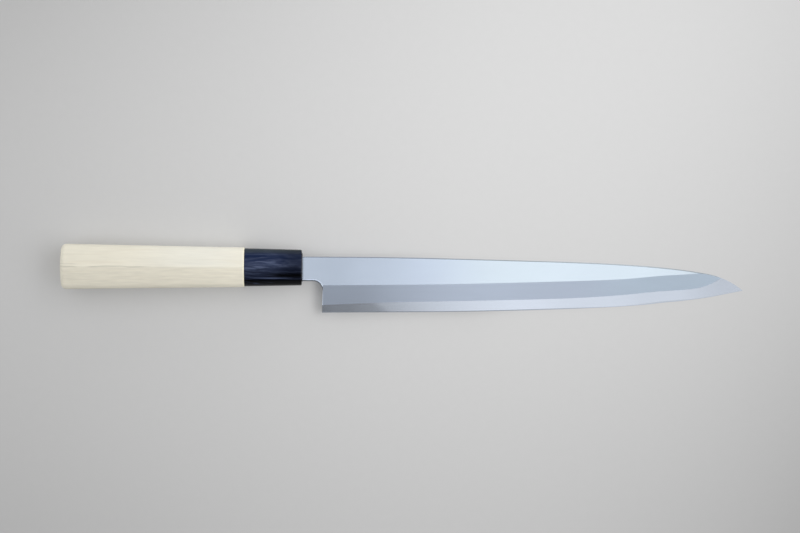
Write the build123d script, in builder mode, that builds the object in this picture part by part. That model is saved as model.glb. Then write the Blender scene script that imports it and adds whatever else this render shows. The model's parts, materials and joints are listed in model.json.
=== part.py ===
from build123d import *
import math
import os

# Single-bevel slicing knife, in millimetres. It lies bevelled side up and touches the surface at two places:
# the lower front end of its grip and the tip. The knife's own frame starts where the handle's axis leaves
# the ferrule: X runs to the tip, Y to the spine and Z up out of the bevelled side.

# Blade outline
blade_length = 240.0  # ferrule face to tip
heel_setback = 11.5  # ferrule face to the top of the heel line
heel_lean = 0.5  # how far the heel's corner lies behind the top of its line
spine_height = 5.9  # handle axis up to the spine at the ferrule
neck_depth = 7.3  # handle axis down to the neck's lower side
heel_depth = 24.4  # handle axis down to the heel's corner
tip_depth = 11.4  # handle axis down to the tip
notch_radius = 5.2  # between the neck and the heel line
tip_curve_angle = 10.0  # degrees, the spine's fall where its last curve begins

# Blade stations from the heel to the tip. Each row holds the share of the way, the edge's share of its rise
# to the tip, the spine's share of its fall to the tip, and shares of the bevel's width and of the steel's
# thickness. The spine's last curve begins at the third row from the end.
station_shares = (
    (0.000, 0.000, 0.000, 1.000, 0.93),
    (0.190, 0.036, 0.009, 1.000, 1.08),
    (0.418, 0.101, 0.070, 1.020, 0.99),
    (0.588, 0.206, 0.126, 1.010, 0.88),
    (0.760, 0.385, 0.236, 1.000, 0.84),
    (0.873, 0.603, 0.388, 0.945, 0.74),
    (0.913, 0.700, 0.472, 0.930, 0.77),
    (0.950, 0.825, 0.608, 0.915, 0.95),
    (1.000, 1.000, 1.000, 0.900, 1.60),
)

# Blade section
spine_thickness = 3.8  # at the ferrule
tip_thickness = 1.5  # where the upper flat would reach the tip
back_depth = 1.9  # handle axis down to the flat back
bevel_width = 14.9
lip_thickness = 0.15  # the cutting edge's own blunt face
micro_bevel = 0.5
micro_bevel_angle = 35.0  # degrees
spine_chamfer = 0.5
neck_round = 1.1
back_round = 0.3
steel_thickness = 1.35
steel_setback = 4.0  # ferrule face to the start of the steel

# Hollow of the back, ground on a large wheel
wheel_radius = 400.0
edge_rim = 2.0  # flat left along the edge
spine_rim = 1.5  # flat left along the spine
hollow_start = 18.0  # ferrule face to where the wheel comes down
hollow_run = 12.0  # length over which the wheel comes down
hollow_tip_gap = 16.0  # tip to where the wheel has left the metal
wheel_clearance = 0.05  # height of the wheel off the metal at either end

# Tang
neck_insert = 1.5  # how far the neck enters the ferrule's mouth
tang_length = 96.0  # ferrule face to the tang's end
tang_height = 10.0
tang_end_height = 5.5
tang_thickness = 3.4
tang_end_thickness = 2.4

# Mouth of the handle: an oval bore round the neck
mouth_gap = 0.4  # past the neck, towards the spine and the edge
mouth_side = 3.7  # past the neck's flats
seal_proud = 0.4  # how far the filler stands out of the ferrule
seal_round = 0.25

# Ferrule
ferrule_length = 31.0
ferrule_side_wall = 1.95  # at its front, towards the spine and the edge
ferrule_ridge_wall = 2.8
ferrule_base_wall = 2.4
ferrule_height_taper = 1.3  # how much taller its back end is
ferrule_thickness_taper = 0.5  # how much further ridge and base stand at its back end
ferrule_front_round = 0.7
ferrule_back_round = 0.3

# Grip
handle_length = 129.5  # butt to the ferrule's face
butt_height = 24.4
butt_rise = 10.4  # handle axis up to the ridge
butt_depth = 10.0  # handle axis down to the underside
butt_round = 2.7
wood_step = 0.45  # how far the wood stands proud of the ferrule
wood_chamfer = 0.4  # at the wood's front end
tenon_setback = 4.0  # ferrule face to the tenon's end

# Section of the grip and the ferrule
facet_crown = 0.6  # how far each upper facet bulges
ridge_round = 1.0
cheek_round = 5.6
land_width = 10.0  # flat of the round underside, at the butt
cheek_share = 0.42  # of the rise, where the facets meet the sides
flank_share = 0.42  # of the depth, where the sides meet the round underside

overrun = 3.0  # how far cuts pass the metal

# Sizes that follow from the ones above
bore_height = 2 * (max(spine_height, neck_depth) + mouth_gap)
bore_width = spine_thickness + 2 * mouth_side
ferrule_height = bore_height + 2 * ferrule_side_wall
ferrule_rise = bore_width / 2 + ferrule_ridge_wall
ferrule_depth = bore_width / 2 + ferrule_base_wall
ferrule_back_height = ferrule_height + ferrule_height_taper
ferrule_back_rise = ferrule_rise + ferrule_thickness_taper
ferrule_back_depth = ferrule_depth + ferrule_thickness_taper
wood_height = ferrule_back_height + 2 * wood_step
wood_rise = ferrule_back_rise + wood_step
wood_depth = ferrule_back_depth + wood_step
heel_corner = heel_setback - heel_lean


def round_depth(height, depth):
    """Depth of the round underside before its flat is cut at depth, for a handle section of this height."""
    half = height / 2
    land = land_width / 2 * height / butt_height
    flank = flank_share * depth
    centre = (half**2 - land**2 + flank**2 - depth**2) / 2 / (depth - flank)
    return math.hypot(half, flank + centre) - centre


# Resting pose: the wood's front end and the tip lie on the surface
pitch = math.atan2(wood_depth - back_depth, blade_length + ferrule_length + wood_chamfer)
reach_front = blade_length * math.cos(pitch) - (back_depth - lip_thickness) * math.sin(pitch)
reach_back = handle_length * math.cos(pitch) + (butt_depth - butt_round) * math.sin(pitch)
knife = Plane(
    origin=(
        (reach_back - reach_front) / 2,
        (heel_depth - butt_height / 2) / 2,
        blade_length * math.sin(pitch) + back_depth * math.cos(pitch),
    ),
    x_dir=(math.cos(pitch), 0, -math.sin(pitch)),
    z_dir=(math.sin(pitch), 0, math.cos(pitch)),
)
profile = Plane(origin=knife.origin, x_dir=knife.x_dir, z_dir=-knife.y_dir)
forward = Axis(knife.origin, knife.x_dir)
spineward = Axis(knife.origin, knife.y_dir)
upward = Axis(knife.origin, knife.z_dir)


def across(x):
    """The plane square to the knife at x, with its own x towards the spine and its own y up."""
    return Plane(origin=knife.from_local_coords((x, 0, 0)), x_dir=knife.y_dir, z_dir=knife.x_dir)


def flat_height(x):
    """Height of the upper flat over the handle's axis, falling evenly towards the tip."""
    thickness = spine_thickness + (tip_thickness - spine_thickness) * x / blade_length
    return thickness - back_depth


stations = [
    (
        heel_corner + along * (blade_length - heel_corner),
        -heel_depth + rise * (heel_depth - tip_depth),
        spine_height - fall * (spine_height + tip_depth),
        width * bevel_width,
        steel * steel_thickness,
    )
    for along, rise, fall, width, steel in station_shares
]
edge_points = [(x, edge) for x, edge, _, _, _ in stations]
spine_points = [(-neck_insert, spine_height)]
spine_points += [(x, spine) for x, _, spine, _, _ in stations[1:-2]]
tip_slope = math.radians(tip_curve_angle)
tip_heading = (math.cos(tip_slope), -math.sin(tip_slope))


def bevel_section(x, edge, width):
    """Outline of what is ground away at x: the micro-bevel and the wide bevel, open towards the edge."""
    micro_slope = math.tan(math.radians(micro_bevel_angle))
    low = lip_thickness - back_depth
    knee = (edge + micro_bevel, low + micro_bevel * micro_slope)
    bevel_slope = (flat_height(x) - knee[1]) / (width - micro_bevel)
    outer = (edge - overrun, low - overrun * micro_slope)
    inner = (edge + width + overrun, flat_height(x) + overrun * bevel_slope)
    top = spine_thickness + overrun
    with BuildSketch(across(x)) as section:
        with BuildLine():
            Polyline(outer, knee, inner, (inner[0], top), (outer[0], top), close=True)
        make_face()
    return section.sketch


def hollow_section(x, middle, depth):
    """Outline of the wheel at x, with its highest point at depth inside the flat back."""
    half = heel_depth
    crown = depth - back_depth
    low = crown - wheel_radius + math.sqrt(wheel_radius**2 - half**2)
    with BuildSketch(across(x)) as section:
        with BuildLine():
            ThreePointArc((middle - half, low), (middle, crown), (middle + half, low))
            Polyline(
                (middle + half, low),
                (middle + half, low - overrun),
                (middle - half, low - overrun),
                (middle - half, low),
            )
        make_face()
    return section.sketch


def grip_section(x, height, rise, depth):
    """Outline of the handle at x: a ridge on top, rounded cheeks, and a round underside through both edges
    of the flat, which is cut at depth afterwards."""
    half = height / 2
    cheek = cheek_share * rise
    flank = flank_share * depth
    with BuildSketch(across(x)) as section:
        with BuildLine():
            SagittaArc((-half, cheek), (0, rise), facet_crown)
            SagittaArc((0, rise), (half, cheek), facet_crown)
            Line((half, cheek), (half, -flank))
            ThreePointArc((half, -flank), (0, -round_depth(height, depth)), (-half, -flank))
            Line((-half, -flank), (-half, cheek))
        make_face()
        fillet(section.vertices().group_by(Axis.Y)[-1], radius=ridge_round)
        sides = section.vertices().group_by(Axis.X)
        fillet(sides[0] + sides[-1], radius=cheek_round)
    return section.sketch


def underside(x_back, depth_back, x_front, depth_front):
    """Plane of a flat underside between two depths, facing up."""
    origin = knife.from_local_coords((x_front, 0, -depth_front))
    normal = knife.from_local_coords((depth_front - depth_back, 0, x_front - x_back)) - knife.origin
    return Plane(origin=origin, z_dir=normal)


def bore_section(x):
    """Oval of the handle's mouth at x, which the ferrule, the tenon and the filler share."""
    with BuildSketch(across(x)) as section:
        Ellipse(bore_height / 2, bore_width / 2)
    return section.sketch


def tang_section(x, height, thickness):
    """Section of the tang at x, centred on the handle's axis."""
    with BuildSketch(across(x)) as section:
        Rectangle(height, thickness)
    return section.sketch


# Whole blade with its tang, before it is divided into its two metals
with BuildPart() as blade:
    with BuildSketch(knife.offset(-back_depth)) as outline:
        with BuildLine():
            Spline(*spine_points, tangents=((1, 0), tip_heading))
            TangentArc(spine_points[-1], edge_points[-1], tangent=tip_heading)
            Spline(*reversed(edge_points))
            FilletPolyline(
                edge_points[0],
                (heel_setback, -neck_depth),
                (-neck_insert, -neck_depth),
                radius=notch_radius,
            )
            Line((-neck_insert, -neck_depth), spine_points[0])
        make_face()
    extrude(amount=spine_thickness + overrun)
    flat_origin = knife.from_local_coords((0, 0, flat_height(0)))
    flat_normal = knife.from_local_coords((spine_thickness - tip_thickness, 0, blade_length)) - knife.origin
    split(bisect_by=Plane(origin=flat_origin, z_dir=flat_normal), keep=Keep.BOTTOM)

    # Eased upper corner of the spine, and rounded neck and heel line on both sides
    upper_edges = blade.faces().sort_by(upward)[-1].edges()
    spine_edge = upper_edges.filter_by(GeomType.BSPLINE).sort_by(spineward)[-1]
    tip_edge = upper_edges.filter_by(GeomType.ELLIPSE).sort_by(forward)[-1]
    chamfer([spine_edge, tip_edge], length=spine_chamfer)
    for side, radius in ((-1, neck_round), (0, back_round)):
        edges = blade.faces().filter_by(GeomType.PLANE).sort_by(upward)[side].edges()
        neck_lines = edges.filter_by(GeomType.LINE).sort_by(forward)[1:3]
        arcs = edges.filter_by(GeomType.ELLIPSE) + edges.filter_by(GeomType.CIRCLE)
        fillet(neck_lines + arcs.sort_by(forward)[:1], radius=radius)

    # Wide bevel and micro-bevel, ground past the heel and past the tip
    bevel_rows = [(x, edge, width) for x, edge, _, width, _ in stations]
    (x_near, edge_near, _), (x_tip, edge_tip, width_tip) = bevel_rows[-2:]
    tip_rise = (edge_tip - edge_near) / (x_tip - x_near)
    bevel_rows.insert(0, (heel_corner - overrun, -heel_depth, bevel_rows[0][2]))
    bevel_rows.append((x_tip + overrun, edge_tip + overrun * tip_rise, width_tip))
    loft(sections=[bevel_section(*row) for row in bevel_rows], mode=Mode.SUBTRACT)

    # Shallow hollow of the back, which the wheel enters and leaves by rising out of the metal
    hollow_rows = []
    for x, edge, spine, _, _ in stations:
        if hollow_start + hollow_run < x < blade_length - hollow_tip_gap - hollow_run:
            width = spine - edge - edge_rim - spine_rim
            hollow_rows.append((x, edge + edge_rim + width / 2, width**2 / wheel_radius / 8))
    _, first_middle, first_depth = hollow_rows[0]
    _, last_middle, _ = hollow_rows[-1]
    hollow_rows.insert(0, (hollow_start + hollow_run, first_middle, first_depth))
    hollow_rows.insert(0, (hollow_start, first_middle, -wheel_clearance))
    hollow_rows.append((blade_length - hollow_tip_gap, last_middle, -wheel_clearance))
    loft(sections=[hollow_section(*row) for row in hollow_rows], mode=Mode.SUBTRACT)

    loft(
        sections=[
            tang_section(-neck_insert, tang_height, tang_thickness),
            tang_section(-tang_length, tang_end_height, tang_end_thickness),
        ]
    )

# Space of the hard steel: everything under the weld line, which rises past the spine near the tip
with BuildPart() as steel_space:
    floor = -back_depth - overrun
    ceiling = spine_thickness + overrun
    weld_line = [(x, steel - back_depth) for x, _, _, _, steel in stations]
    weld_line[0] = (steel_setback, weld_line[0][1])
    with BuildSketch(profile) as weld_profile:
        with BuildLine():
            Spline(*weld_line)
            Polyline(
                weld_line[-1],
                (blade_length + overrun, ceiling),
                (blade_length + overrun, floor),
                (steel_setback, floor),
                weld_line[0],
            )
        make_face()
    extrude(amount=heel_depth + overrun, both=True)

with BuildPart() as cutting_steel:
    add(blade.part)
    add(steel_space.part, mode=Mode.INTERSECT)
cutting_steel.part.label = "cutting_steel"

with BuildPart() as blade_body:
    add(blade.part)
    add(steel_space.part, mode=Mode.SUBTRACT)
blade_body.part.label = "blade_body"

# Horn ring, glued over the tenon
with BuildPart() as ferrule:
    loft(
        sections=[
            grip_section(-ferrule_length, ferrule_back_height, ferrule_back_rise, ferrule_back_depth),
            grip_section(0, ferrule_height, ferrule_rise, ferrule_depth),
        ],
        ruled=True,
    )
    fillet(ferrule.faces().sort_by(forward)[-1].edges(), radius=ferrule_front_round)
    fillet(ferrule.faces().sort_by(forward)[0].edges(), radius=ferrule_back_round)
    split(bisect_by=underside(-ferrule_length, ferrule_back_depth, 0, ferrule_depth), keep=Keep.TOP)
    extrude(bore_section(-ferrule_length), amount=ferrule_length, mode=Mode.SUBTRACT)
ferrule.part.label = "ferrule"

# Filler in the ferrule's mouth, from the tenon's end to a little past the ferrule
with BuildPart() as mouth_seal:
    extrude(bore_section(-tenon_setback), amount=tenon_setback + seal_proud)
    fillet(mouth_seal.faces().sort_by(forward)[-1].edges(), radius=seal_round)
    add(blade.part, mode=Mode.SUBTRACT)
mouth_seal.part.label = "mouth_seal"

# Wooden grip with its tenon; the tang has burnt its own slot
with BuildPart() as handle:
    loft(
        sections=[
            grip_section(-handle_length, butt_height, butt_rise, butt_depth),
            grip_section(-ferrule_length - wood_chamfer, wood_height, wood_rise, wood_depth),
            grip_section(
                -ferrule_length,
                wood_height - 2 * wood_chamfer,
                wood_rise - wood_chamfer,
                wood_depth - wood_chamfer,
            ),
        ],
        ruled=True,
    )
    shoulder = -ferrule_length - wood_chamfer
    split(bisect_by=underside(-handle_length, butt_depth, shoulder, wood_depth), keep=Keep.TOP)
    split(
        bisect_by=underside(shoulder, wood_depth, -ferrule_length, wood_depth - wood_chamfer),
        keep=Keep.TOP,
    )
    fillet(handle.faces().sort_by(forward)[0].edges(), radius=butt_round)
    extrude(bore_section(-ferrule_length), amount=ferrule_length - tenon_setback)
    add(blade.part, mode=Mode.SUBTRACT)
handle.part.label = "handle"

os.makedirs("parts", exist_ok=True)
export_step(blade_body.part, "parts/blade_body.step")
export_step(cutting_steel.part, "parts/cutting_steel.step")
export_step(ferrule.part, "parts/ferrule.step")
export_step(mouth_seal.part, "parts/mouth_seal.step")
export_step(handle.part, "parts/handle.step")
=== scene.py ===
import json
import math

import bpy
import numpy as np
from bpy.props import FloatProperty, FloatVectorProperty, PointerProperty
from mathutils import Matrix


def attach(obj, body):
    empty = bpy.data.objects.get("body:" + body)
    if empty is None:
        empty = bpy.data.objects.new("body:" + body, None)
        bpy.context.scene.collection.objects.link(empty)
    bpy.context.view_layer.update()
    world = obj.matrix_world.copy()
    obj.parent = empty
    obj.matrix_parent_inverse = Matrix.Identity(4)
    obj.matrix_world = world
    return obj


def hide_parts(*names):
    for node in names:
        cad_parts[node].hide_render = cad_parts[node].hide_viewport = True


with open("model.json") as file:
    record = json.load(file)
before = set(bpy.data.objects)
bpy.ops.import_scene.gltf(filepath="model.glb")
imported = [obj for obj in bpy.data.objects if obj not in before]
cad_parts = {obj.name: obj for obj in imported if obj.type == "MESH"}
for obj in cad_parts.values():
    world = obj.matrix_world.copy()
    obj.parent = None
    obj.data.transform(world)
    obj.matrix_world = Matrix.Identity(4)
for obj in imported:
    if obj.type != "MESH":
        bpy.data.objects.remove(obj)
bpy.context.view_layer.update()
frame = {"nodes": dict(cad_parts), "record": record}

bl_info = {
    "name": "Yanagiba Knife",
    "version": (1, 0, 0),
    "blender": (4, 5, 0),
    "location": "3D View > Sidebar > Knife",
    "description": "Long single-bevel slicing knife with a wooden grip and a horn ferrule",
    "category": "Add Mesh",
}

# The knife's own frame starts where the handle's axis leaves the ferrule: X runs to the tip, Y to the spine
# and Z up out of the bevelled side, in millimetres. It is pitched, because the knife lies on the front end
# of its grip and on its tip.
MM = 0.001
HANDLE_LENGTH = 129.5
BUTT = next(mount for mount in frame["record"]["mounts"] if mount["name"] == "butt_face")
PITCH = math.atan2(BUTT["axis"][2], -BUTT["axis"][0])
COS, SIN = math.cos(PITCH), math.sin(PITCH)
ORIGIN = tuple(p / MM - HANDLE_LENGTH * a for p, a in zip(BUTT["pos_m"], BUTT["axis"]))

# Degrees, past which an edge between two faces stays sharp
SMOOTH_ANGLE = 25.0


def placed(points):
    """Points of the knife's own frame, in millimetres, turned by the pitch and moved into the row frame."""
    x, y, z = np.moveaxis(points, -1, 0)
    along = COS * x + SIN * z + ORIGIN[0]
    up = COS * z - SIN * x + ORIGIN[2]
    return np.stack([along, y + ORIGIN[1], up], -1) * MM


def tube_faces(rows, columns):
    """Quads between neighbouring rows of points, where each row is a closed ring."""
    row = np.arange(rows - 1)[:, None] * columns
    column = np.arange(columns)[None, :]
    after = (column + 1) % columns
    quads = np.stack([row + column, row + after, row + columns + after, row + columns + column], -1)
    return quads.reshape(-1, 4)


def new_piece(name, points, faces, material, body="root"):
    """A mesh object of these points, in metres in the row frame, smooth but for its sharp edges."""
    mesh = bpy.data.meshes.new(name)
    mesh.from_pydata(points.reshape(-1, 3).tolist(), [], faces)
    mesh.validate()
    mesh.polygons.foreach_set("use_smooth", np.ones(len(mesh.polygons), bool))
    mesh.set_sharp_from_angle(angle=math.radians(SMOOTH_ANGLE))
    mesh.materials.append(material)
    mesh.update()
    piece = bpy.data.objects.new(name, mesh)
    bpy.context.scene.collection.objects.link(piece)
    if body:
        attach(piece, body)
    return piece


def dress(node, material):
    """Gives a CAD node its material."""
    materials = frame["nodes"][node].data.materials
    materials.clear()
    materials.append(material)


# Shader maths


class Value:
    """A socket of a shader tree, on which Python's operators add Math nodes."""

    def __init__(self, tree, socket):
        self.tree = tree
        self.socket = socket

    def math(self, operation, *others):
        """A Math node on this value and others."""
        return self.tree.math(operation, self, *others)

    def __add__(self, other):
        return self.math("ADD", other)

    def __radd__(self, other):
        return self.math("ADD", other)

    def __sub__(self, other):
        return self.math("SUBTRACT", other)

    def __rsub__(self, other):
        return self.tree.math("SUBTRACT", other, self)

    def __mul__(self, other):
        return self.math("MULTIPLY", other)

    def __rmul__(self, other):
        return self.math("MULTIPLY", other)

    def __truediv__(self, other):
        return self.math("DIVIDE", other)

    def __rtruediv__(self, other):
        return self.tree.math("DIVIDE", other, self)

    def __neg__(self):
        return self.math("MULTIPLY", -1.0)

    def __abs__(self):
        return self.math("ABSOLUTE")

    def high(self, other):
        """The greater of the two values."""
        return self.math("MAXIMUM", other)

    def held(self, reach, softness):
        """This value, held softly within a reach on either side of zero."""
        return self.math("SMOOTH_MAX", -reach, softness).math("SMOOTH_MIN", reach, softness)

    def step(self, low, high):
        """0 below low, 1 above high, and smooth between; low may be the greater of the two."""
        return self.tree.node(
            "ShaderNodeMapRange",
            settings={"interpolation_type": "SMOOTHSTEP"},
            Value=self,
            From_Min=low,
            From_Max=high,
        )

    def window(self, start, full, fading, end):
        """1 from full to fading, 0 below start and above end, and smooth between."""
        return self.step(start, full) * self.step(end, fading)

    def bump(self, middle, reach):
        """A smooth hump of height 1 at its middle, which has died away a reach from it."""
        return 1 - abs(self - middle).step(0.0, reach)

    def swing(self, share):
        """Noise from 0 to 1 turned into a change about zero, as wide as the share."""
        return (self - 0.5) * share

    def powers(self, *weights):
        """The sum of this value's powers times their weights, from the zeroth power upwards."""
        total = weights[-1]
        for weight in reversed(weights[:-1]):
            total = weight + self * total
        return total

    def rises(self, total, places):
        """A total with smooth rises along this value, each given by its start, its end and its height."""
        for start, end, height in places:
            total = total + self.step(start, end) * height
        return total


def distance(x, y):
    """The length of the vector of two values."""
    return (x * x + y * y).math("SQRT")


def used(sockets, name=None):
    """The first socket, of a name if one is given, that the settings of its node leave in use."""
    return next(s for s in sockets if s.enabled and name in (None, s.name))


class Tree:
    """Node tree of a material or world, to which nodes are added by their type, settings and inputs."""

    def __init__(self, owner, output="ShaderNodeOutputMaterial"):
        owner.use_nodes = True
        self.output = output
        self.nodes = owner.node_tree.nodes
        self.links = owner.node_tree.links
        self.nodes.clear()

    def node(self, kind, *values, settings=None, out=None, **sockets):
        """Adds a node, with its settings first, then its inputs in their order or by name, in which an
        underscore stands for a space. Gives the output of a name, or the first one in use."""
        node = self.nodes.new(kind)
        for key, value in (settings or {}).items():
            setattr(node, key, value)
        inputs = list(zip(node.inputs, values))
        inputs += [(used(node.inputs, name.replace("_", " ")), value) for name, value in sockets.items()]
        for socket, value in inputs:
            if isinstance(value, Value):
                self.links.new(value.socket, socket)
            else:
                socket.default_value = value
        return Value(self, used(node.outputs, out))

    def math(self, operation, *values):
        """A Math node on values and numbers."""
        return self.node("ShaderNodeMath", *values, settings={"operation": operation})

    def mix(self, factor, first, second):
        """Colour between two colours by a factor."""
        first, second = (c if isinstance(c, Value) else (*c, 1.0) for c in (first, second))
        return self.node("ShaderNodeMix", settings={"data_type": "RGBA"}, Factor=factor, A=first, B=second)

    def scaled(self, colour, factor):
        """Colour times a number, through Vector Math."""
        return self.node("ShaderNodeVectorMath", colour, settings={"operation": "SCALE"}, Scale=factor)

    def parts(self, vector):
        """The three numbers of a vector."""
        first = self.node("ShaderNodeSeparateXYZ", vector)
        return [Value(self, socket) for socket in first.socket.node.outputs]

    def joined(self, x, y, z):
        """The vector of three numbers."""
        return self.node("ShaderNodeCombineXYZ", x, y, z)

    def object_place(self):
        """Object coordinates, in metres."""
        return self.node("ShaderNodeTexCoord", out="Object")

    def knife_place(self):
        """Object coordinates turned and scaled into the knife's own frame, in millimetres."""
        x, y, z = ORIGIN
        return self.node(
            "ShaderNodeMapping",
            Vector=self.object_place(),
            Location=(SIN * z - COS * x, -y, -SIN * x - COS * z),
            Rotation=(0.0, -PITCH, 0.0),
            Scale=(1 / MM, 1 / MM, 1 / MM),
        )

    def direction(self):
        """The direction in which the surface faces, before any bump."""
        return self.node("ShaderNodeNewGeometry", out="True Normal")

    def camera_ray(self):
        """1 for what the camera sees straight away, else 0."""
        return self.node("ShaderNodeLightPath", out="Is Camera Ray")

    def noise(self, vector, detail, roughness=0.5, scale=1.0):
        """Soft noise from 0 to 1."""
        return self.node(
            "ShaderNodeTexNoise", Vector=vector, Scale=scale, Detail=detail, Roughness=roughness
        )

    def grain(self, place, along, across, detail, roughness=0.5, shift=(0.0, 0.0, 0.0)):
        """Noise drawn out along the knife, with its waves a millimetre along and across it."""
        stretched = self.node(
            "ShaderNodeMapping", Vector=place, Location=shift, Scale=(along, across, across)
        )
        return self.noise(stretched, detail, roughness)

    def normal(self, height, depth, strength):
        """Normal bumped by a height, whose unit stands for a depth in millimetres."""
        return self.node("ShaderNodeBump", Strength=strength, Distance=depth * MM, Height=height)

    def shown(self, shader):
        """Puts a shader on the output of the material or world."""
        output = self.nodes.new(self.output)
        self.links.new(shader.socket, output.inputs["Surface"])

    def surface(self, **sockets):
        """Puts a Principled shader on the material's output."""
        self.shown(self.node("ShaderNodeBsdfPrincipled", **sockets))


def new_material(name):
    """A material and its empty node tree."""
    material = bpy.data.materials.new(name)
    return material, Tree(material)


# Sizes and colours


def size(name, description, default):
    """A setting for a size in millimetres."""
    return FloatProperty(name=name, description=description, default=default)


def colour(name, description, default):
    """A setting for a colour."""
    return FloatVectorProperty(
        name=name, description=description, subtype="COLOR", size=3, default=default
    )


class KnifeGripSizes(bpy.types.PropertyGroup):
    """Sizes of the wooden grip, in millimetres."""

    length: size("Length", "Butt to the ferrule's face", HANDLE_LENGTH)
    height: size("Butt height", "Height of the section at the butt", 24.4)
    rise: size("Butt rise", "Axis up to the ridge at the butt", 10.4)
    depth: size("Butt depth", "Axis down to the underside at the butt", 10.0)
    butt_round: size("Butt round", "Radius of the butt's rim", 2.7)
    chamfer: size("Front chamfer", "Chamfer at the wood's front end", 0.4)
    step: size("Step", "How far the wood stands proud of the ferrule", 0.45)


class KnifeFerruleSizes(bpy.types.PropertyGroup):
    """Sizes of the horn ferrule, in millimetres."""

    length: size("Length", "Wood to the ferrule's face", 31.0)
    height: size("Front height", "Height of the section at the front", 19.3)
    rise: size("Front rise", "Axis up to the ridge at the front", 8.4)
    depth: size("Front depth", "Axis down to the underside at the front", 8.0)
    height_taper: size("Height taper", "Extra height at the back end", 1.3)
    rise_taper: size("Rise taper", "Extra rise and depth at the back end", 0.5)
    front_round: size("Front round", "Radius of the front rim", 0.7)
    back_round: size("Back round", "Radius of the back rim", 0.3)
    bore_height: size("Mouth height", "Height of the oval mouth", 15.4)
    bore_width: size("Mouth width", "Thickness of the oval mouth", 11.2)


class KnifeColours(bpy.types.PropertyGroup):
    """Colours of the knife and of its floor."""

    wood: colour("Wood", "Bare pale wood", (0.76, 0.725, 0.615))
    wood_pale: colour("Paler wood", "Patch of paler wood", (0.755, 0.738, 0.655))
    wood_line: colour("Wood line", "Thin late wood lines", (0.60, 0.53, 0.40))
    # The cut end is paler than end grain alone, partly a painted highlight on its chamfer
    wood_front: colour("Wood front", "Cut end grain", (0.92, 0.87, 0.68))
    horn: colour("Horn", "Dark horn", (0.005, 0.008, 0.021))
    # Painted bluish reflection on the horn above the ridge
    horn_blue: colour("Blue horn", "Horn above the ridge", (0.007, 0.015, 0.048))
    # Painted greyer reflection on the horn's rim by the spine
    horn_rim: colour("Horn rim", "Horn by the spine", (0.04, 0.052, 0.044))
    horn_streak: colour("Horn streak", "Paler streaks", (0.075, 0.095, 0.165))
    flat: colour("Upper flat", "Polished iron by the handle", (0.584, 0.668, 0.80))
    flat_front: colour("Forward flat", "Polished iron by the tip", (0.584, 0.668, 0.745))
    iron: colour("Bevel iron", "Hazy iron by the handle", (0.545, 0.62, 0.75))
    iron_front: colour("Forward bevel iron", "Hazy iron by the tip", (0.515, 0.612, 0.725))
    steel: colour("Hard steel", "Cutting steel", (0.66, 0.72, 0.82))
    filler: colour("Filler", "Dark filler", (0.02, 0.02, 0.022))
    floor: colour("Floor", "Pale floor", (0.639, 0.639, 0.639))


class KnifeSettings(bpy.types.PropertyGroup):
    """All settings of the knife."""

    grip: PointerProperty(type=KnifeGripSizes)
    ferrule: PointerProperty(type=KnifeFerruleSizes)
    colours: PointerProperty(type=KnifeColours)


def settings():
    """The settings of the open scene."""
    return bpy.context.scene.knife_settings


# Section of the grip and of the ferrule

# Bulge of the facets and radii of the rounded corners, in millimetres
FACET_CROWN = 0.6
RIDGE_ROUND = 1.0
CHEEK_ROUND = 5.6

# Top of the straight side as a share of the rise, its foot as a share of the depth, and half the width of
# the flat underside as a share of the height
CHEEK_SHARE = 0.42
FLANK_SHARE = 0.42
LAND_SHARE = 5.0 / 24.4

# Points on each arc
RIDGE_POINTS = 7
FACET_POINTS = 14
CHEEK_POINTS = 12
FLANK_POINTS = 12
UNDER_POINTS = 6


def arc_points(centre, radius, start, end, count):
    """Points on circular arcs, one arc for each row of the centre, radius, start and end angle."""
    turn = start[:, None] + (end - start)[:, None] * np.linspace(0.0, 1.0, count)[None, :]
    y = centre[0][:, None] + radius[:, None] * np.cos(turn)
    z = centre[1][:, None] + radius[:, None] * np.sin(turn)
    return np.stack([y, z], -1)


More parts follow.
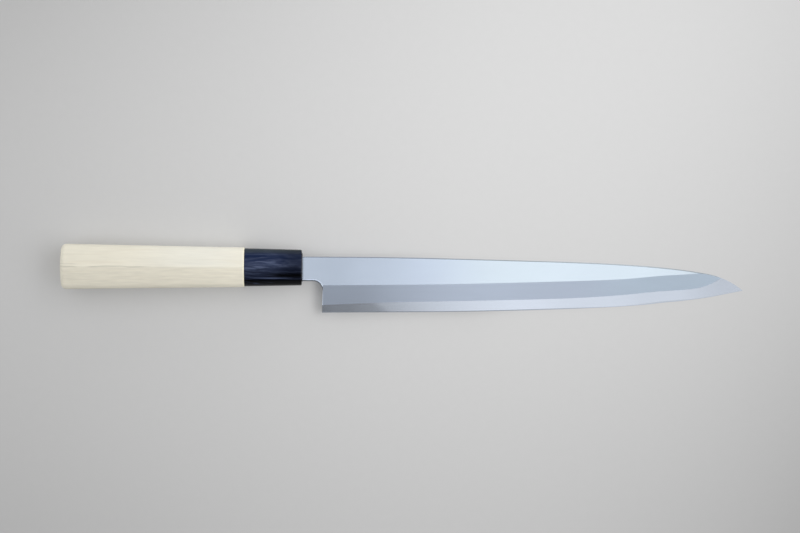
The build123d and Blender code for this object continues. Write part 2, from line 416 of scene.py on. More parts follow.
def grip_sections(height, rise, depth):
    """Outlines of the handle, one row for each height, rise and depth, run round from the ridge by way of the
    spine's side and the flat underside back to the ridge.

    The right half is a ridge arc, a facet arc that bulges by the crown, a cheek arc tangent to facet and
    side, the straight side, a flank arc tangent to side and underside, and an arc down to the flat's edge.
    The left half mirrors it."""
    half, cheek, flank = height / 2, CHEEK_SHARE * rise, FLANK_SHARE * depth
    land = LAND_SHARE * height
    zeros, ones = np.zeros_like(half), np.ones_like(half)

    # Facet arc through the ridge and the cheek corner
    chord_y, chord_z = half, cheek - rise
    chord = np.hypot(chord_y, chord_z)
    facet_radius = (chord**2 / 4 + FACET_CROWN**2) / 2 / FACET_CROWN
    out_y, out_z = -chord_z / chord, chord_y / chord
    facet_y = chord_y / 2 - out_y * (facet_radius - FACET_CROWN)
    facet_z = rise + chord_z / 2 - out_z * (facet_radius - FACET_CROWN)

    # Ridge arc inside both facets, and cheek arc inside facet and side
    ridge_z = facet_z + np.sqrt((facet_radius - RIDGE_ROUND) ** 2 - facet_y**2)
    ridge_turn = np.arctan2(ridge_z - facet_z, -facet_y)
    cheek_y = half - CHEEK_ROUND
    cheek_z = facet_z + np.sqrt((facet_radius - CHEEK_ROUND) ** 2 - (cheek_y - facet_y) ** 2)
    cheek_turn = np.arctan2(cheek_z - facet_z, cheek_y - facet_y)

    # Underside circle through the side's foot and the flat's edge, and flank arc inside side and underside
    under_z = (half**2 - land**2 + flank**2 - depth**2) / 2 / (depth - flank)
    under_radius = np.hypot(half, flank + under_z)
    flank_z = under_z - np.sqrt((under_radius - CHEEK_ROUND) ** 2 - cheek_y**2)
    flank_turn = np.arctan2(flank_z - under_z, cheek_y)
    land_turn = np.arctan2(-depth - under_z, land)

    right = np.concatenate(
        [
            arc_points((zeros, ridge_z), RIDGE_ROUND * ones, np.pi / 2 * ones, ridge_turn, RIDGE_POINTS),
            arc_points((facet_y, facet_z), facet_radius, ridge_turn, cheek_turn, FACET_POINTS)[:, 1:],
            arc_points((cheek_y, cheek_z), CHEEK_ROUND * ones, cheek_turn, zeros, CHEEK_POINTS)[:, 1:],
            arc_points((cheek_y, flank_z), CHEEK_ROUND * ones, zeros, flank_turn, FLANK_POINTS),
            arc_points((zeros, under_z), under_radius, flank_turn, land_turn, UNDER_POINTS)[:, 1:],
            np.stack([land / 2, -depth], -1)[:, None],
            np.stack([zeros, -depth], -1)[:, None],
        ],
        axis=1,
    )
    left = right[:, -2:0:-1] * (-1, 1)
    return np.concatenate([right, left], axis=1)


def shrunk(sections, inset, height, rise, depth):
    """Sections scaled towards the axis, so that the side of each and the nearer of its ridge and underside
    move in by its inset."""
    scale = np.stack([1 - inset / (height / 2), 1 - inset / np.minimum(rise, depth)], -1)
    return sections * scale[:, None, :]


def mouth_ovals(sizes, count):
    """Two equal ovals of the ferrule's mouth, each of a count of points that run round like a section's:
    half the height times the sine, and half the width times the cosine."""
    turn = np.linspace(0.0, 2 * np.pi, count, endpoint=False)
    oval = np.stack([sizes.bore_height / 2 * np.sin(turn), sizes.bore_width / 2 * np.cos(turn)], -1)
    return np.stack([oval, oval])


def body_of_sections(x, sections):
    """Points of a body in the knife's frame: each section stands at its own x."""
    x = np.broadcast_to(np.asarray(x)[:, None], sections.shape[:2])
    return np.concatenate([x[..., None], sections], -1)


def closed_ends(points):
    """Points and faces of a tube of sections, whose two ends are closed by a fan to their middles."""
    rows, columns = points.shape[:2]
    first, last = rows * columns, rows * columns + 1
    index = np.arange(columns)
    after = (index + 1) % columns
    base = (rows - 1) * columns
    faces = tube_faces(rows, columns).tolist()
    faces += np.stack([after, index, np.full(columns, first)], -1).tolist()
    faces += np.stack([base + index, base + after, np.full(columns, last)], -1).tolist()
    middles = np.stack([points[0].mean(0), points[-1].mean(0)])
    return np.concatenate([points.reshape(-1, 3), middles]), faces


def rim(radius, count):
    """Distances from an end and insets of a quarter-round rim: the radius less its sine and less its cosine,
    from the inner end of the quarter to the outer."""
    turn = np.linspace(0.0, np.pi / 2, count)
    return radius * (1 - np.sin(turn)), radius * (1 - np.cos(turn))


# Materials

# Two places are where a change starts and is complete, or the middle and the reach of a patch. Four are a
# window: start, full, fading and end. Places are in millimetres of the knife's own frame, waves are counted
# for each millimetre, and a share or a tone says how much of a colour or of a change of brightness is taken.

# Wood: the pith that its rings go round lies beside and below the grip
PITH_ASIDE = 31.0
PITH_BELOW = 46.0
RING_WIDTH = 1.45
RING_WANDER = 5.0
LATE_WOOD_START = (0.62, 0.93)
LATE_WOOD_END = (0.95, 1.0)
RINGS_SHOWN = (0.42, 0.72)
RING_SHARE = 0.20
FLECKS_SHOWN = (0.64, 0.76)
FLECK_SHARE = 0.10
FIBRE_TONE = 0.12
BLOTCH_TONE = 0.10
FIBRE_RELIEF = 0.6
RING_RELIEF = 0.25
DASH_TONE = 0.24
UPPER_DASH_TONE = 0.14

# Wood: the dark lines on the ridge
LINE_WAVER = 1.2
RIDGE_LINE = (0.1, 0.55)
RIDGE_LINE_STRETCH = (-116.0, -111.0, -88.0, -78.0)
SECOND_LINE = (1.5, 0.45)
SECOND_LINE_SHARE = 0.7
LINES_BY_BUTT = (-119.0, -123.0)
LINES_HEIGHT = (4.0, 8.0)
LINE_TONE = 0.22
LINE_RELIEF = 0.5

# Wood: the painted shade on the sides of the ridge, the butt, the cut end by the ferrule with its painted
# highlight, and the painted light that raises the tone along the grip
WOOD_UPPER_SIDE = (-1.5, 1.5)
# Painted shade: the spine's side darker, the other side a little towards the line colour
UPPER_SIDE_SHADE = 0.08
LOWER_SIDE_SHADE_SHARE = 0.06
PALE_PATCH = (-55.0, 45.0)
BUTT_END = (-128.2, -129.3)
CUT_END = (-31.75, -31.45)
CUT_HIGHLIGHT_SHARE = 0.7
GRIP_LIGHT_START = 127.0
GRIP_LIGHT_SLOPE = 0.00135


def wood_material(colours):
    """Pale straight-grained wood. Its rings show as faint lengthwise lines and as arcs on the butt. The side
    towards the spine is painted a little darker as shade, with a paler patch in its middle, and the other has
    stronger dashes and a little painted shade of the line colour. Dark lines run on the ridge. Painted light
    raises the tone towards the ferrule, and the cut end there is the palest, partly end grain and partly a
    painted highlight."""
    material, tree = new_material("pale_wood")
    place = tree.knife_place()
    x, y, z = tree.parts(place)

    # Late wood fills the last third of each ring, and shows in some stretches only
    wander = tree.grain(place, along=0.012, across=0.09, detail=2.0)
    ring = distance(y + PITH_ASIDE, z + PITH_BELOW) + wander * RING_WANDER
    phase = (ring / RING_WIDTH).math("FRACT")
    strength = tree.grain(place, along=0.02, across=0.35, detail=1.0, shift=(3.0, 0.0, 0.0))
    late = phase.step(*LATE_WOOD_START) * (1 - phase.step(*LATE_WOOD_END)) * strength.step(*RINGS_SHOWN)

    fibre = tree.grain(place, along=0.045, across=2.6, detail=3.0, roughness=0.6)
    fleck = tree.grain(place, along=0.10, across=3.0, detail=1.0, shift=(0.0, 7.0, 2.0))
    blotch = tree.grain(place, along=0.02, across=0.12, detail=2.0, shift=(9.0, 0.0, 0.0))
    dash = tree.grain(place, along=0.10, across=0.75, detail=1.0, shift=(0.0, 4.0, 1.0))

    # One line on the ridge from the grip's middle backwards, with a short break, and a second by the butt
    waver = y + tree.grain(place, along=0.08, across=0.02, detail=1.0).swing(LINE_WAVER)
    by_butt = x.step(*LINES_BY_BUTT)
    lines = waver.bump(*RIDGE_LINE) * (x.window(*RIDGE_LINE_STRETCH) + by_butt)
    lines = lines + waver.bump(*SECOND_LINE) * by_butt * SECOND_LINE_SHARE
    lines = lines * z.step(*LINES_HEIGHT)

    # The butt's face has no ridge, so it lies between the painted tones of the two sides
    butt = x.step(*BUTT_END)
    upper = y.step(*WOOD_UPPER_SIDE) * (1 - butt) + butt * 0.5
    base = tree.mix(upper * x.bump(*PALE_PATCH), colours.wood, colours.wood_pale)
    # The last of these shares is painted shade on the side away from the spine
    for share in (late * RING_SHARE, fleck.step(*FLECKS_SHOWN) * FLECK_SHARE, (1 - upper) * LOWER_SIDE_SHADE_SHARE):
        base = tree.mix(share, base, colours.wood_line)
    # Paler cut end and chamfer, partly end grain and partly a painted highlight
    base = tree.mix(x.step(*CUT_END) * CUT_HIGHLIGHT_SHARE, base, colours.wood_front)

    # Painted light raises the tone towards the ferrule, and painted shade darkens the spine's side
    tone = 1.0 + (x + GRIP_LIGHT_START) * GRIP_LIGHT_SLOPE - upper * UPPER_SIDE_SHADE
    tone = tone + dash.swing(DASH_TONE - upper * UPPER_DASH_TONE)
    tone = tone + fibre.swing(FIBRE_TONE) + blotch.swing(BLOTCH_TONE) - lines * LINE_TONE
    relief = fibre * FIBRE_RELIEF - late * RING_RELIEF - lines * LINE_RELIEF
    tree.surface(
        Base_Color=tree.scaled(base, tone),
        Roughness=0.52 + fibre.swing(0.12),
        Normal=tree.normal(relief, depth=0.06, strength=0.35),
        Specular_IOR_Level=0.35,
    )
    return material


# Horn: its streaks fan out towards the blade, bent by noise across and through the ferrule
HORN_UPPER_SIDE = (-2.5, 2.5)
FAN_START = 31.0
FAN_SLOPE = 0.09
BEND_ACROSS = 4.0
BEND_THROUGH = 3.0
STREAK_WAVES = (0.05, 0.75, 0.6)
STREAKS_SHOWN = (0.44, 0.72)
STREAK_SHARE = 0.34
FINE_WAVES = (0.09, 2.3, 0.8)
FINE_SHIFT = 5.0
FINE_SHOWN = (0.50, 0.76)
FINE_SHARE = 0.3
PALE_BAND = (0.5, 5.5)
PALE_BAND_FADE = (-3.0, -19.0)
PALE_BAND_SHARE = 0.22

# Horn: the band of painted shade beside the ridge, the border of painted shade, the thin painted highlight by
# it, the painted greyer reflection on the rim by the spine, and the height of the painted blue reflection
SHADE_BAND = (-4.3, 2.3)
SHADE_BAND_FADE = (-24.0, -11.0)
SHADED_BORDER = (-6.2, -6.8)
BORDER_STREAKS = (-12.0, -24.0)
BORDER_STREAK_SHARE = 0.9
SHADE_TONE = 0.96
THIN_HIGHLIGHT = (-5.75, 0.5)
THIN_HIGHLIGHT_STRETCH = (-16.0, 14.0)
BLUE_REFLECTION_HEIGHT = (-1.0, 4.5)
RIM_REFLECTION_PLACE = (6.5, 9.3)
RIM_REFLECTION_SHARE = 0.5
FRONT_FADE = (-17.0, -3.0)
FRONT_TONE = 0.4


def horn_material(colours):
    """Polished dark horn, with a painted bluish reflection on the spine's side of the ridge, a greyer painted
    reflection next to the spine, and near black painted shade in a band and along the border on the other
    side. Pale streaks fan out forwards from a paler band at the back, one thin pale painted highlight runs
    beside the dark border, and the horn darkens towards the blade."""
    material, tree = new_material("horn")
    place = tree.knife_place()
    x, y, z = tree.parts(place)
    upper = y.step(*HORN_UPPER_SIDE)
    fan = y + (x + FAN_START) * FAN_SLOPE * (1 - upper)

    bend = tree.grain(place, along=0.06, across=0.12, detail=1.0)
    along, across, through = STREAK_WAVES
    bent_y, bent_z = fan + bend * BEND_ACROSS, z + bend * BEND_THROUGH
    bent = tree.joined(x * along, bent_y * across, bent_z * through)
    streak = tree.noise(bent, detail=4.0, roughness=0.62).step(*STREAKS_SHOWN)
    along, across, through = FINE_WAVES
    thin = tree.joined(x * along + FINE_SHIFT, fan * across, z * through)
    fine = tree.noise(thin, detail=2.0).step(*FINE_SHOWN)

    pale = fan.bump(*PALE_BAND) * x.step(*PALE_BAND_FADE)
    # Painted shade: near black in a band beside the ridge and along the border on the edge's side
    border = y.step(*SHADED_BORDER) * (1 - x.step(*BORDER_STREAKS) * fine * BORDER_STREAK_SHARE)
    dark = (y.bump(*SHADE_BAND) * x.step(*SHADE_BAND_FADE)).high(border)
    # A thin painted highlight beside the border
    line = y.bump(*THIN_HIGHLIGHT) * x.bump(*THIN_HIGHLIGHT_STRETCH)

    # Painted bluish reflection on the spine's side of the ridge
    base = tree.mix(upper * z.step(*BLUE_REFLECTION_HEIGHT), colours.horn, colours.horn_blue)
    base = tree.mix(streak * STREAK_SHARE + pale * (PALE_BAND_SHARE + streak), base, colours.horn_streak)
    base = tree.mix(fine * FINE_SHARE, base, colours.horn_streak)
    # Painted greyer reflection on the rim by the spine
    base = tree.mix(y.step(*RIM_REFLECTION_PLACE) * RIM_REFLECTION_SHARE, base, colours.horn_rim)
    # The band and the border get their painted shade here
    base = tree.scaled(base, (1 - x.step(*FRONT_FADE) * FRONT_TONE) * (1 - dark * SHADE_TONE))
    # The thin painted highlight takes the streak colour
    base = tree.mix(line, base, colours.horn_streak)
    tree.surface(
        Base_Color=base,
        Roughness=0.2 + fine * 0.08,
        Normal=tree.normal(fine, depth=0.03, strength=0.3),
        Specular_IOR_Level=0.12,
    )
    return material


# Blade: changes of brightness and roughness by the scratches, and of brightness by the haze
SCRATCH_TONE = 0.05
SCRATCH_ROUGHNESS = 0.04
IRON_HAZE_TONE = 0.05
STEEL_HAZE_TONE = 0.04


def scratches(tree, place, across):
    """Fine lengthwise scratches, with their waves a millimetre across the blade."""
    return tree.grain(place, along=0.05, across=across, detail=3.0, roughness=0.65)


# Iron: how far a surface faces up, to the spine, or to the edge and the butt, from 0 to 1, which picks the
# bevel and the corners that get painted highlights and painted shade
BEVEL_SLOPE = (0.04, 0.07)
BEVEL_UP = (0.0, 0.5)
CORNER_UP = (0.1, 0.35, 0.95, 0.99)
CORNER_HIGHLIGHT_TONE = 0.1
ROLLED_UP = (0.1, 0.35, 0.72, 0.86)
ROLLED_SHADE_TONE = 0.98
ROLLED_SPINE = (0.3, 0.5)
ROLLED_SPINE_SHARE = 0.45
EASED_UP = (0.82, 0.88, 0.99, 0.998)
EASED_SLOPE = (0.03, 0.06)
EASED_HIGHLIGHT_TONE = 0.45
EASED_DULLNESS = 0.9

# Iron: where the bevel starts, where the neck enters the filler and gets painted shade, and how painted
# reflections change the tones along the blade
BEVEL_START = (11.0, 11.7)
JOINT = (1.6, 0.5)
JOINT_SHADE_TONE = 0.2
FLAT_COLOUR_CHANGE = (60.0, 110.0)
BEVEL_COLOUR_CHANGE = (140.0, 190.0)
FLAT_DARK = (42.0, 62.0)
FLAT_DARK_TONE = 0.085
FLAT_HEEL = (18.0, 18.0)
FLAT_HEEL_TONE = 0.045
FLAT_TIP = (165.0, 190.0)
FLAT_TIP_TONE = 0.07
BEVEL_BRIGHT = (85.0, 72.0)
BEVEL_BRIGHT_TONE = 0.17
BEVEL_HEEL = (32.0, 22.0)
BEVEL_HEEL_TONE = 0.06
BEVEL_TIP = (165.0, 215.0)
BEVEL_TIP_TONE = 0.08
ROLLED_FADE = (60.0, 200.0)
ROLLED_FADE_TONE = 0.5


def iron_material(colours):
    """Soft iron: a polished upper flat, a hazy bevel and a plain spine and back. Rounded corners get a little
    painted highlight, except that the steep ones get dark painted shade, less so at the spine and towards the
    tip. The eased corners that face the edge or the butt get a bright, dull painted highlight, and the neck
    is painted darker, as shade, where it enters the filler. Painted reflections change the tones of the flat
    and the bevel along the blade."""
    material, tree = new_material("soft_iron")
    place = tree.knife_place()
    x = tree.parts(place)[0]
    to_tip, to_spine, up = tree.parts(tree.direction())

    bevel = (-to_spine).step(*BEVEL_SLOPE) * x.step(*BEVEL_START) * up.step(*BEVEL_UP)
    # Painted highlight on rounded corners
    corner = up.window(*CORNER_UP) * (1 - bevel)
    # Painted shade on steep rounded corners, less at the spine and towards the tip
    rolled_shade = up.window(*ROLLED_UP) * (1 - to_spine.step(*ROLLED_SPINE) * ROLLED_SPINE_SHARE)
    # Painted highlight on the eased corners that face the edge or the butt, bright and dull
    eased = up.window(*EASED_UP) * (-to_spine - to_tip).step(*EASED_SLOPE) * (1 - bevel)

    # Painted reflections change the tones of the flat and the bevel along the blade
    flat_reflection_tone = 1 - x.bump(*FLAT_DARK) * FLAT_DARK_TONE - x.bump(*FLAT_HEEL) * FLAT_HEEL_TONE
    flat_reflection_tone = flat_reflection_tone + x.step(*FLAT_TIP) * FLAT_TIP_TONE
    bevel_reflection_tone = 1 + x.bump(*BEVEL_BRIGHT) * BEVEL_BRIGHT_TONE - x.bump(*BEVEL_HEEL) * BEVEL_HEEL_TONE
    bevel_reflection_tone = bevel_reflection_tone - x.step(*BEVEL_TIP) * BEVEL_TIP_TONE
    flat = tree.mix(x.step(*FLAT_COLOUR_CHANGE), colours.flat, colours.flat_front)
    iron = tree.mix(x.step(*BEVEL_COLOUR_CHANGE), colours.iron, colours.iron_front)
    base = tree.mix(bevel, tree.scaled(flat, flat_reflection_tone), tree.scaled(iron, bevel_reflection_tone))

    scratch = scratches(tree, place, across=9.0)
    haze = tree.grain(place, along=0.05, across=0.2, detail=3.0)
    # Painted highlights and shade of the corners, and painted shade where the neck enters the filler
    tone = 1.0 + corner * CORNER_HIGHLIGHT_TONE + eased * EASED_HIGHLIGHT_TONE - x.step(*JOINT) * JOINT_SHADE_TONE
    tone = tone * (1 - rolled_shade * (ROLLED_SHADE_TONE - x.step(*ROLLED_FADE) * ROLLED_FADE_TONE))
    tone = tone + scratch.swing(SCRATCH_TONE) + haze.swing(IRON_HAZE_TONE)
    tree.surface(
        Base_Color=tree.scaled(base, tone),
        Metallic=1 - eased * EASED_DULLNESS,
        Roughness=0.14 + bevel * 0.20 + scratch.swing(SCRATCH_ROUGHNESS),
        Normal=tree.normal(scratch, depth=0.02, strength=0.2),
    )
    return material


# Steel: the patch of painted dark reflection behind a slanting line at the heel, the painted reflection on
# the edge's own narrow bevel, and the tones with their painted reflections along the blade
HEEL_LEVEL = 18.5
HEEL_SLANT = 1.35
HEEL_PATCH = (43.2, 34.7)
HEEL_REFLECTION_TONE = 0.22
EDGE_UP = (0.0, 0.4, 0.87, 0.93)
EDGE_REFLECTION_TONE = 0.34
EDGE_CHANGE = (70.0, 190.0)
EDGE_REFLECTION_CHANGE = 0.70
STEEL_TONE = 1.05
STEEL_TIP = (112.0, 155.0)
STEEL_TIP_REFLECTION_TONE = 0.14
STEEL_END = (27.0, 15.0)
STEEL_END_REFLECTION_TONE = 0.08


def steel_material(colours):
    """Hard steel, finely ground and brighter than the iron beside it. A painted dark reflection makes it
    darker in a patch at the heel, but less so at the very end, and darker towards the tip. Its narrow edge
    bevel has a painted reflection, darker still at the heel and brighter towards the tip."""
    material, tree = new_material("hard_steel")
    place = tree.knife_place()
    x, y = tree.parts(place)[:2]
    up = tree.parts(tree.direction())[2]
    # Painted dark reflection in a patch at the heel
    heel = (x + (y + HEEL_LEVEL) * HEEL_SLANT).step(*HEEL_PATCH)
    # Painted reflection on the edge's narrow bevel, darker at the heel and brighter towards the tip
    edge = up.window(*EDGE_UP)
    # Painted reflections: darker towards the tip and at the heel, less so at the very end
    tone = STEEL_TONE - x.step(*STEEL_TIP) * STEEL_TIP_REFLECTION_TONE
    tone = tone * (1 - heel * HEEL_REFLECTION_TONE + x.step(*STEEL_END) * STEEL_END_REFLECTION_TONE)
    tone = tone * (1 - edge * (EDGE_REFLECTION_TONE - x.step(*EDGE_CHANGE) * EDGE_REFLECTION_CHANGE))

    scratch = scratches(tree, place, across=11.0)
    haze = tree.grain(place, along=0.05, across=0.3, detail=2.0, shift=(2.0, 0.0, 0.0))
    tone = tone + scratch.swing(SCRATCH_TONE) + haze.swing(STEEL_HAZE_TONE)
    tree.surface(
        Base_Color=tree.scaled(colours.steel, tone),
        Metallic=1.0,
        Roughness=0.15 + scratch.swing(SCRATCH_ROUGHNESS),
        Normal=tree.normal(scratch, depth=0.02, strength=0.15),
    )
    return material


# Filler: how many times as bright its palest grains are
FILLER_PALEST = 1.8


def filler_material(colours):
    """Dull dark filler with soft paler grains."""
    material, tree = new_material("filler")
    grain = tree.grain(tree.knife_place(), along=2.0, across=2.0, detail=3.0)
    tree.surface(
        Base_Color=tree.mix(grain, colours.filler, [FILLER_PALEST * c for c in colours.filler]),
        Roughness=0.6 + grain.swing(0.2),
        Normal=tree.normal(grain, depth=0.1, strength=0.3),
    )
    return material


# Floor, with its places and sizes in metres

FLOOR_REACH = 3.0
PAPER_WAVES = 220.0
PAPER_TONE = 0.03

# The painted pool of light on the frame, with the weights of three powers of the place along it, of three
# across it and of two where both change, and the even tone far outside the frame
FRAME_MIDDLE_Y = 0.0069
FRAME_REACH_X, FRAME_SOFTNESS_X = 0.25, 0.07
FRAME_REACH_Y, FRAME_SOFTNESS_Y = 0.165, 0.05
NEAR = (1.1, 0.28)
FAR_TONE = 0.17
LIGHT_POOL_ALONG = (0.56, -3.6, -8.0)
LIGHT_POOL_ACROSS = (0.97, -3.6, -10.0)
LIGHT_POOL_CORNERS = (2.4, 5.0)
LIT_TONE = 1.05
UNSHADED_TONE = 1.03

# The share of the floor that the camera sees unshaded, below the knife's axis, on the edge's side, and above
BELOW_SHARE = 0.28
BELOW_RISES = ((-0.10, -0.06, 0.18), (-0.04, 0.01, 0.14), (0.03, 0.07, 0.32))
ABOVE_RISES = ((-0.09, -0.06, 0.28), (-0.04, 0.01, 0.27), (0.0, 0.04, 0.37))
AXIS_CHANGE = (-0.01, 0.01)
NOTCH_X = (-0.0452, 0.0062)
NOTCH_Y = (-0.029, -0.023)
NOTCH_SHARE = 0.46


def floor_material(colours):
    """Pale paper with a painted pool of light, whose tone falls off gently from the blade's middle by a sum
    of powers of its place. The camera sees a share of it unshaded, which is small beside the grip, grows
    along the blade and drops in the notch at the heel, so that the shadow there stays dark."""
    material, tree = new_material("pale_floor")
    place = tree.object_place()
    x, y = tree.parts(place)[:2]
    paper = tree.noise(place, detail=4.0, roughness=0.6, scale=PAPER_WAVES)
    near = distance(x, y).step(*NEAR)
    x = x.held(FRAME_REACH_X, FRAME_SOFTNESS_X)
    y = (y - FRAME_MIDDLE_Y).held(FRAME_REACH_Y, FRAME_SOFTNESS_Y)
    # Painted pool of light, falling off from the blade's middle
    light_pool = x * (x.powers(*LIGHT_POOL_ALONG) + y * y.powers(*LIGHT_POOL_CORNERS)) + y * y.powers(*LIGHT_POOL_ACROSS)
    level = (1.0 + light_pool * near - (1 - near) * FAR_TONE) * (1.0 + paper.swing(PAPER_TONE))
    tone = tree.scaled(colours.floor, level)

    below = x.rises(BELOW_SHARE, BELOW_RISES) - x.bump(*NOTCH_X) * y.step(*NOTCH_Y) * NOTCH_SHARE
    above = x.rises(0.0, ABOVE_RISES)
    share = tree.camera_ray() * (below + (above - below) * y.step(*AXIS_CHANGE))
    lit = tree.node("ShaderNodeBsdfDiffuse", Color=tree.scaled(tone, LIT_TONE))
    plain = tree.node("ShaderNodeEmission", Color=tree.scaled(tone, UNSHADED_TONE), Strength=1.0)
    tree.shown(tree.node("ShaderNodeMixShader", share, lit, plain))
    return material


# Light

# The panels lie on a level sheet above the knife, where u runs to the tip and v to the spine, as shares of
# its height. No direction counts as lower than the lowest, so that u and v stay finite at the horizon.
LOWEST = 0.02
AMBIENT_LIGHT = 0.36
BACKGROUND_LIGHT = 0.9

# A wide panel, a brighter upper part of it, and a narrow glow in the middle
PANEL_U = (-0.70, -0.35, 0.75, 1.15)
PANEL_V = (-0.46, -0.40, 0.95, 1.35)
PANEL_LIGHT = 0.34
UPPER_V = (0.35, 0.60, 0.90, 1.20)
UPPER_LIGHT = 0.20
GLOW_U = (0.142, 0.13)
GLOW_V = (0.0, 0.75)
GLOW_LIGHT = 0.72

# A panel beyond the tip and one beyond the butt
TIP_U = (0.45, 0.75, 1.40, 2.20)
TIP_LIGHT = 1.9
BUTT_U = (-2.20, -1.40, -0.75, -0.45)
BUTT_LIGHT = 1.1
SIDES_V = (-0.90, -0.40, 1.00, 1.70)

# The low ring round the horizon, weaker on the edge's side, and the darker gap above it on that side
RING_TOP = 0.46
RING_FULL = 0.36
RING_LIGHT = 0.25
RING_SPINE = (-0.80, -0.35)
RING_SPINE_LIGHT = 0.75
GAP_V = (-0.43, -0.50)
GAP_U = (0.90, 0.50)
GAP_LIGHT = 0.24


def studio_world():
    """A world of soft panels round the knife, which the camera itself sees as one pale background."""
    world = bpy.data.worlds.new("studio")
    tree = Tree(world, "ShaderNodeOutputWorld")
    x, y, z = tree.parts(tree.node("ShaderNodeTexCoord", out="Generated"))
    height = z.high(LOWEST)
    u = x / height
    v = y / height
    panel = v.window(*PANEL_V) * u.window(*PANEL_U)
    upper = v.window(*UPPER_V) * u.window(*PANEL_U)
    glow = u.bump(*GLOW_U) * v.bump(*GLOW_V)
    sides = (u.window(*TIP_U) * TIP_LIGHT + u.window(*BUTT_U) * BUTT_LIGHT) * v.window(*SIDES_V)
    ring = z.step(RING_TOP, RING_FULL) * (RING_LIGHT + y.step(*RING_SPINE) * RING_SPINE_LIGHT)
    gap = v.step(*GAP_V) * z.step(RING_FULL, RING_TOP) * abs(u).step(*GAP_U)
    strength = AMBIENT_LIGHT + panel * PANEL_LIGHT + glow * GLOW_LIGHT + upper * UPPER_LIGHT
    strength = strength + sides + ring - gap * GAP_LIGHT
    seen = tree.camera_ray()
    strength = strength * (1 - seen) + seen * BACKGROUND_LIGHT
    tree.shown(tree.node("ShaderNodeBackground", Color=(1.0, 1.0, 1.0, 1.0), Strength=strength))
    return world


# Camera, which looks straight down, in metres, millimetres of lens and sensor, and degrees

CAMERA_PLACE = (-0.0020, 0.00695, 1.2107)
CAMERA_TURN = 0.298
CAMERA_LENS = 100.0
CAMERA_SENSOR = 36.0
CAMERA_RANGE = 20.0


def new_camera():
    """The camera, straight above the knife."""
    camera = bpy.data.cameras.new("camera")
    camera.sensor_width = CAMERA_SENSOR
    camera.lens = CAMERA_LENS
    camera.clip_end = CAMERA_RANGE
    eye = bpy.data.objects.new("camera", camera)
    eye.location = CAMERA_PLACE
    eye.rotation_euler = (0.0, 0.0, math.radians(CAMERA_TURN))
    bpy.context.scene.collection.objects.link(eye)
    return eye


# Operators


class KNIFE_OT_stage(bpy.types.Operator):
    """Lay the floor and set the light and the camera"""

    bl_idname = "knife.stage"
    bl_label = "Stage"

    def execute(self, context):
        corners = np.array([(-1, -1, 0), (1, -1, 0), (1, 1, 0), (-1, 1, 0)]) * FLOOR_REACH
        material = floor_material(settings().colours)
        floor = new_piece("floor", corners, [(0, 1, 2, 3)], material, body=None)
        context.scene.world = studio_world()
        context.scene.camera = new_camera()
        context.scene.view_settings.view_transform = "Standard"
        return {"FINISHED"}


class KNIFE_OT_blade(bpy.types.Operator):
    """Finish the blade's soft iron and hard steel"""

    bl_idname = "knife.blade"
    bl_label = "Blade"

    def execute(self, context):
        dress("blade_body", iron_material(settings().colours))
        dress("cutting_steel", steel_material(settings().colours))
        return {"FINISHED"}


# Rows of points on the rim of the butt and along the grip
BUTT_RIM_ROWS = 9
GRIP_ROWS = 40

# Front end of the tenon inside the ferrule, in millimetres of the knife's own frame
TENON_END = -4.0


class KNIFE_OT_grip(bpy.types.Operator):
    """Build the wooden grip with its tenon"""

    bl_idname = "knife.grip"
    bl_label = "Grip"

    def execute(self, context):
        sizes, ferrule = settings().grip, settings().ferrule
        butt_section = (sizes.height, sizes.rise, sizes.depth)
        front_section = (
            ferrule.height + ferrule.height_taper + 2 * sizes.step,
            ferrule.rise + ferrule.rise_taper + sizes.step,
            ferrule.depth + ferrule.rise_taper + sizes.step,
        )
        along, inset = (row[::-1] for row in rim(sizes.butt_round, BUTT_RIM_ROWS))
        back, front = -sizes.length, -ferrule.length - sizes.chamfer
        x = np.concatenate([back + along, np.linspace(back + sizes.butt_round, front, GRIP_ROWS)[1:]])
        inset = np.concatenate([inset, np.zeros(len(x) - len(inset))])
        share = (x - back) / (front - back)
        measures = [start + (end - start) * share for start, end in zip(butt_section, front_section)]
        sections = shrunk(grip_sections(*measures), inset, *measures)

        # The front end is narrower by the chamfer, and the tenon stands on it
        height, rise, depth = np.array(front_section)[:, None]
        chamfer = sizes.chamfer
        end = grip_sections(height - 2 * chamfer, rise - chamfer, depth - chamfer)
        ovals = mouth_ovals(ferrule, end.shape[1])
        tube = [
            body_of_sections(x, sections),
            body_of_sections([-ferrule.length], end),
            body_of_sections([-ferrule.length, TENON_END], ovals),
        ]
        points, faces = closed_ends(np.concatenate(tube))
        piece = new_piece("wood_grip", placed(points), faces, wood_material(settings().colours))
        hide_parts("handle")
        return {"FINISHED"}


# Rows of points on the ferrule's rims and between them
BACK_RIM_ROWS = 4
FRONT_RIM_ROWS = 8
FERRULE_ROWS = 10


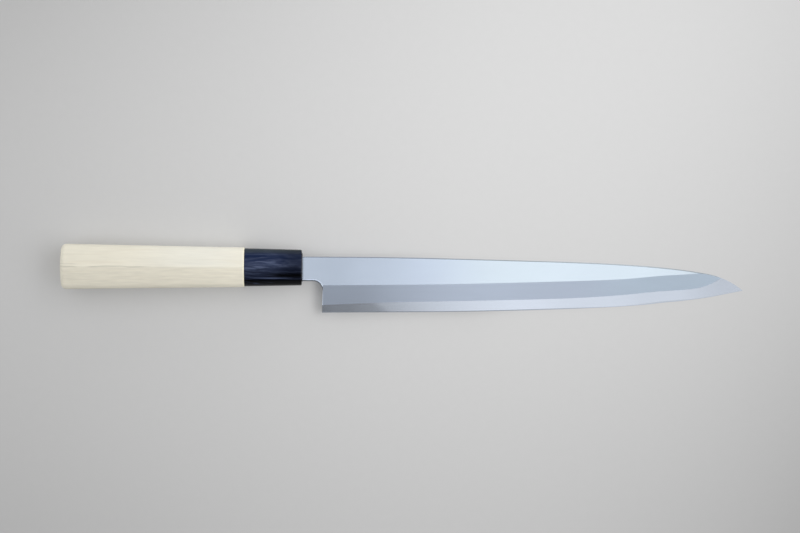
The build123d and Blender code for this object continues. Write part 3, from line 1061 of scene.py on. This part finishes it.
class KNIFE_OT_ferrule(bpy.types.Operator):
    """Build the horn ferrule"""

    bl_idname = "knife.ferrule"
    bl_label = "Ferrule"

    def execute(self, context):
        sizes = settings().ferrule
        back_along, back_inset = rim(sizes.back_round, BACK_RIM_ROWS)
        front_along, front_inset = rim(sizes.front_round, FRONT_RIM_ROWS)
        back, front = -sizes.length + sizes.back_round, -sizes.front_round
        middle = np.linspace(back, front, FERRULE_ROWS + 2)[1:-1]
        x = np.concatenate([-sizes.length + back_along[::-1], middle, -front_along])
        inset = np.concatenate([back_inset[::-1], np.zeros(FERRULE_ROWS), front_inset])
        share = -x / sizes.length
        height = sizes.height + sizes.height_taper * share
        rise = sizes.rise + sizes.rise_taper * share
        depth = sizes.depth + sizes.rise_taper * share
        sections = shrunk(grip_sections(height, rise, depth), inset, height, rise, depth)
        outside = body_of_sections(x, sections)
        inside = body_of_sections([0.0, -sizes.length], mouth_ovals(sizes, sections.shape[1]))

        # The last row of faces joins the inside's back end to the first row of points again
        points = np.concatenate([outside, inside])
        rows, columns = points.shape[:2]
        faces = tube_faces(rows + 1, columns) % (rows * columns)
        material = horn_material(settings().colours)
        piece = new_piece("horn_ferrule", placed(points), faces.tolist(), material)
        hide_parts("ferrule")
        return {"FINISHED"}


class KNIFE_OT_seal(bpy.types.Operator):
    """Finish the filler in the ferrule's mouth"""

    bl_idname = "knife.seal"
    bl_label = "Mouth filler"

    def execute(self, context):
        dress("mouth_seal", filler_material(settings().colours))
        return {"FINISHED"}


class KNIFE_PT_panel(bpy.types.Panel):
    """Lists the knife's pieces, sizes and colours"""

    bl_idname = "KNIFE_PT_panel"
    bl_label = "Yanagiba Knife"
    bl_space_type = "VIEW_3D"
    bl_region_type = "UI"
    bl_category = "Knife"

    def draw(self, context):
        layout = self.layout
        for operator in PIECES:
            layout.operator(operator.bl_idname)
        for group in (settings().grip, settings().ferrule, settings().colours):
            column = layout.column()
            for name in group.bl_rna.properties.keys():
                if name not in ("rna_type", "name"):
                    column.prop(group, name)


PIECES = (KNIFE_OT_stage, KNIFE_OT_blade, KNIFE_OT_grip, KNIFE_OT_ferrule, KNIFE_OT_seal)
CLASSES = (KnifeGripSizes, KnifeFerruleSizes, KnifeColours, KnifeSettings, *PIECES, KNIFE_PT_panel)


def register():
    """Registers the classes and gives the scene its settings."""
    for cls in CLASSES:
        bpy.utils.register_class(cls)
    bpy.types.Scene.knife_settings = PointerProperty(type=KnifeSettings)


def unregister():
    """Takes the settings and the classes out again."""
    del bpy.types.Scene.knife_settings
    for cls in reversed(CLASSES):
        bpy.utils.unregister_class(cls)


def main():
    register()
    bpy.ops.knife.stage()
    bpy.ops.knife.blade()
    bpy.ops.knife.grip()
    bpy.ops.knife.ferrule()
    bpy.ops.knife.seal()


if __name__ == "__main__":
    main()
